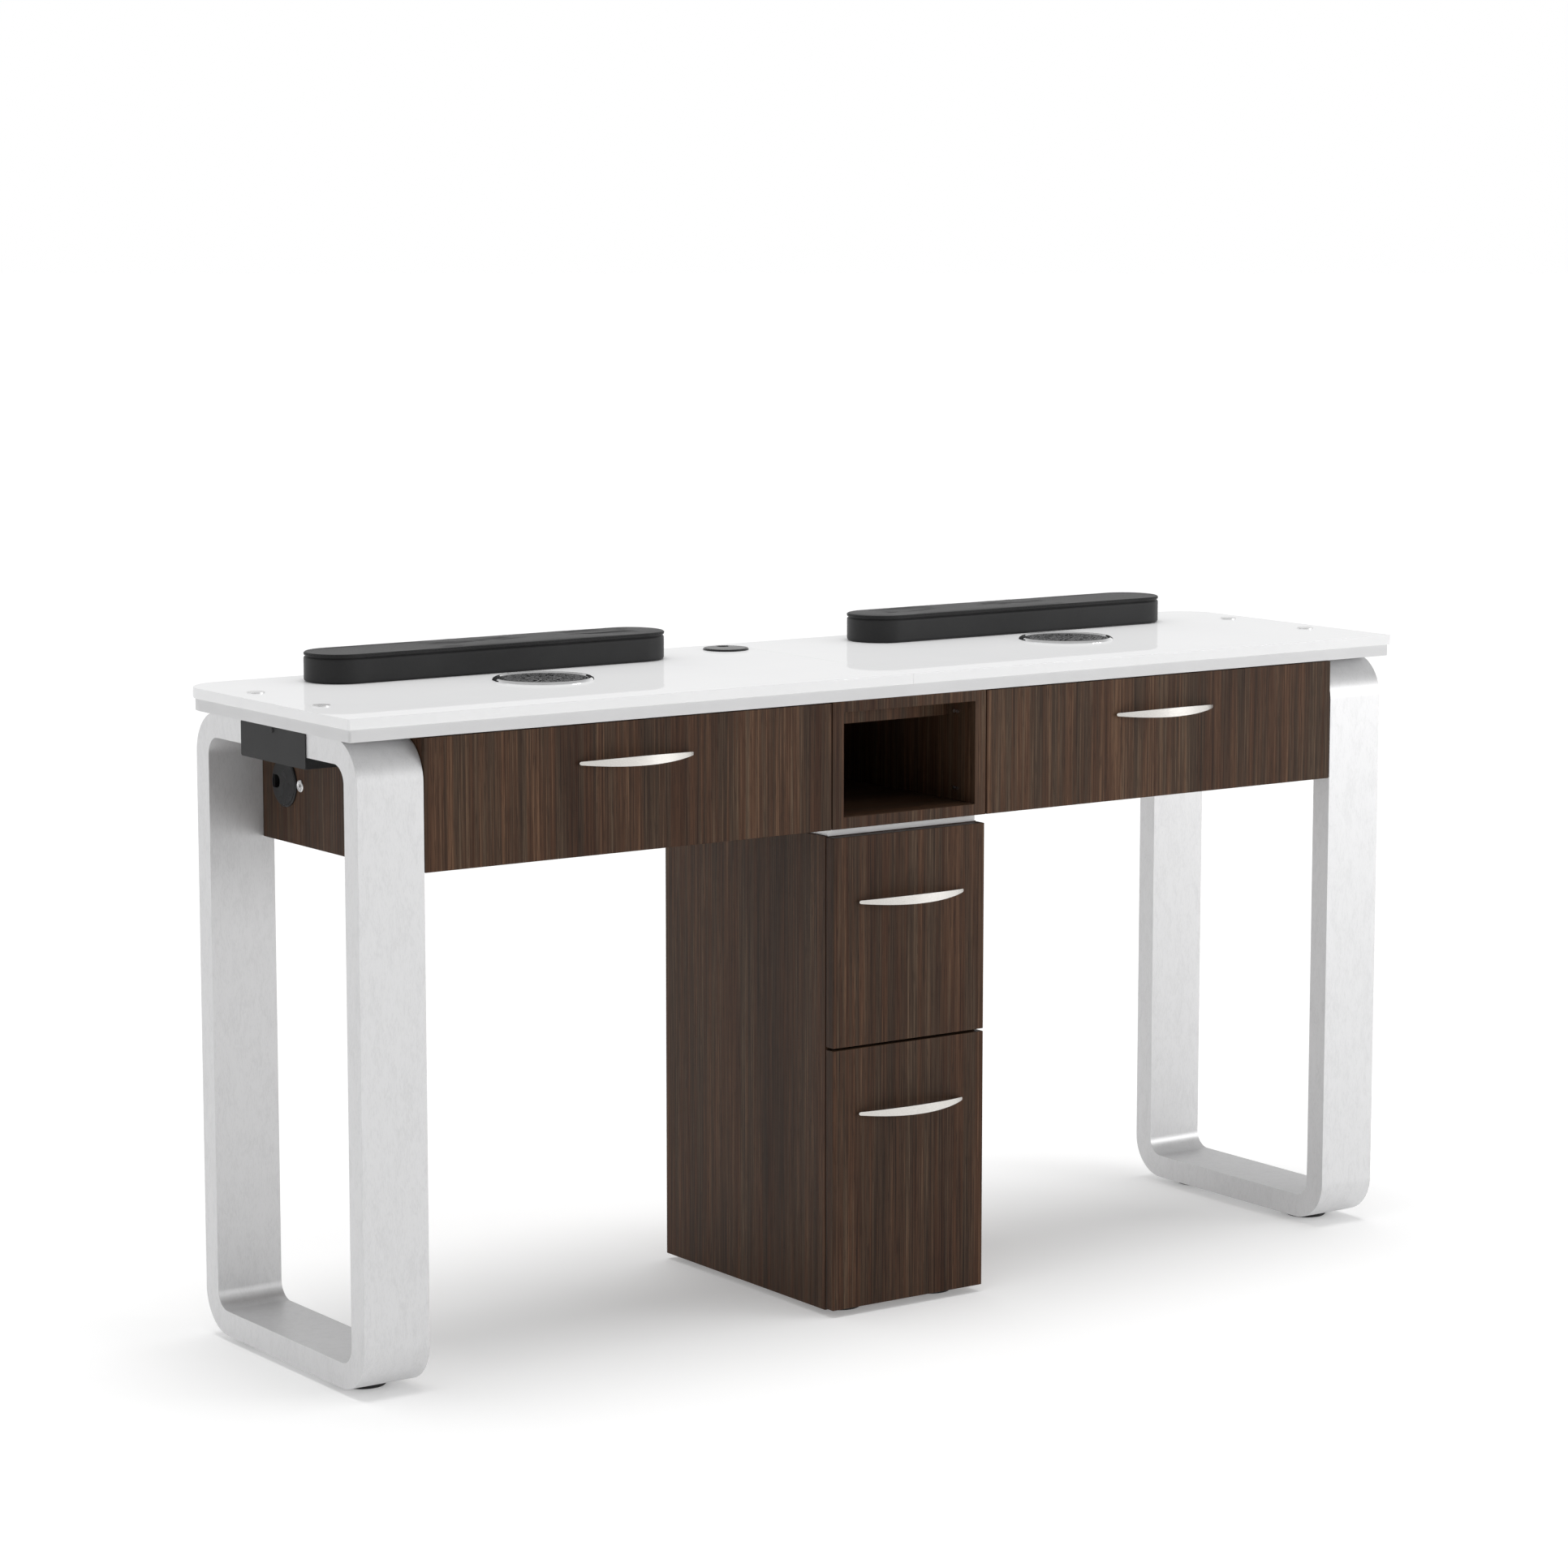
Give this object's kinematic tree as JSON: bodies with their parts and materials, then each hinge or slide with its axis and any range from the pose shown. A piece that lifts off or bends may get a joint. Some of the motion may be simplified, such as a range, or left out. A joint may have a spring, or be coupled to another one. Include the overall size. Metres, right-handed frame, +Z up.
{
  "type": "manicure table",
  "caption": "Long manicure table with a stone top on two ring legs, wide drawers either side of an open cubby, a drawer pedestal, dust vents and arm-rest pads.",
  "frame": {"origin": "on the floor, at the middle of the space that the table takes up, pulls included", "axes": "+X along the length, towards the end without the wiring box; +Y towards the back edge with the arm rests, so drawers open towards -Y; +Z up"},
  "size_m": [1.504, 0.413, 0.791],
  "materials": {
    "stone": "polished white engineered stone",
    "grey_board": "light grey laminate",
    "spacer_board": "light grey laminate",
    "walnut": "dark walnut laminate with upright grain, satin",
    "brushed_silver": "silver, finely brushed",
    "satin_nickel": "satin nickel",
    "polished_steel": "polished",
    "chrome_trim": "polished",
    "zinc_steel": "zinc plated",
    "dark_grille": "dark lacquer",
    "filter_foam": "open-cell foam",
    "black_plastic": "fine satin texture",
    "black_rubber": "matt",
    "black_steel": "black powder coat",
    "black_leatherette": "grained leatherette over foam",
    "tray_steel": "light grey powder coat"
  },
  "bodies": {
    "frame": {"slab_left": "stone", "slab_right": "stone", "top_board": "grey_board", "top_bolts": "zinc_steel", "bolt_caps": "polished_steel", "pad_left": "black_leatherette", "pad_right": "black_leatherette", "vent_ring_left": "chrome_trim", "vent_ring_right": "chrome_trim", "vent_grille_left": "dark_grille", "vent_grille_right": "dark_grille", "dust_filter_left": "filter_foam", "dust_filter_right": "filter_foam", "fan_frame_left": "black_plastic", "fan_frame_right": "black_plastic", "top_grommet": "black_plastic", "side_grommet": "black_plastic", "leg_ring_left": "brushed_silver", "leg_ring_right": "brushed_silver", "feet": "black_rubber", "wiring_box": "black_steel", "wiring_box_cover": "black_steel", "cover_screw": "black_steel", "end_panel_left": "walnut", "end_panel_right": "walnut", "back_panel": "walnut", "floor_panel": "walnut", "cubby_frame": "walnut", "cubby_side_left": "walnut", "cubby_side_right": "walnut", "cubby_rail": "walnut", "cubby_screws": "zinc_steel", "side_bolt": "polished_steel", "ped_side_left": "walnut", "ped_side_right": "walnut", "ped_top": "walnut", "ped_floor": "walnut", "ped_back": "walnut", "spacer_plate": "spacer_board", "runner_rails": "zinc_steel"},
    "left_fan": {"fan_rotor_left": "black_plastic"},
    "right_fan": {"fan_rotor_right": "black_plastic"},
    "top_cap": {"top_grommet_cap": "black_plastic"},
    "side_cap": {"side_grommet_cap": "black_plastic"},
    "left_drawer": {"left_drawer_front": "walnut", "left_drawer_tray": "tray_steel", "left_drawer_pull": "satin_nickel", "left_drawer_runners": "zinc_steel"},
    "right_drawer": {"right_drawer_front": "walnut", "right_drawer_tray": "tray_steel", "right_drawer_pull": "satin_nickel", "right_drawer_runners": "zinc_steel"},
    "upper_drawer": {"upper_drawer_front": "walnut", "upper_drawer_tray": "tray_steel", "upper_drawer_pull": "satin_nickel", "upper_drawer_runners": "zinc_steel"},
    "lower_drawer": {"lower_drawer_front": "walnut", "lower_drawer_tray": "tray_steel", "lower_drawer_pull": "satin_nickel", "lower_drawer_runners": "zinc_steel"}
  },
  "joints": [
    {"name": "left_drawer_slide", "type": "slide", "parent": "frame", "child": "left_drawer", "axis": [0, -1, 0], "range_m": [0, 0.19]},
    {"name": "right_drawer_slide", "type": "slide", "parent": "frame", "child": "right_drawer", "axis": [0, -1, 0], "range_m": [0, 0.19]},
    {"name": "upper_drawer_slide", "type": "slide", "parent": "frame", "child": "upper_drawer", "axis": [0, -1, 0], "range_m": [0, 0.225]},
    {"name": "lower_drawer_slide", "type": "slide", "parent": "frame", "child": "lower_drawer", "axis": [0, -1, 0], "range_m": [0, 0.225]},
    {"name": "left_fan_spin", "type": "hinge", "parent": "frame", "child": "left_fan", "pos_m": [-0.3845, 0.0095, 0.704], "axis": [0, 0, 1], "continuous": true},
    {"name": "right_fan_spin", "type": "hinge", "parent": "frame", "child": "right_fan", "pos_m": [0.3845, 0.0095, 0.704], "axis": [0, 0, 1], "continuous": true},
    {"name": "top_cap_turn", "type": "hinge", "parent": "frame", "child": "top_cap", "pos_m": [-0.032, 0.1535, 0.758], "axis": [0, 0, 1], "continuous": true},
    {"name": "side_cap_turn", "type": "hinge", "parent": "frame", "child": "side_cap", "pos_m": [-0.6705, 0.1045, 0.6485], "axis": [-1, 0, 0], "continuous": true}
  ]
}
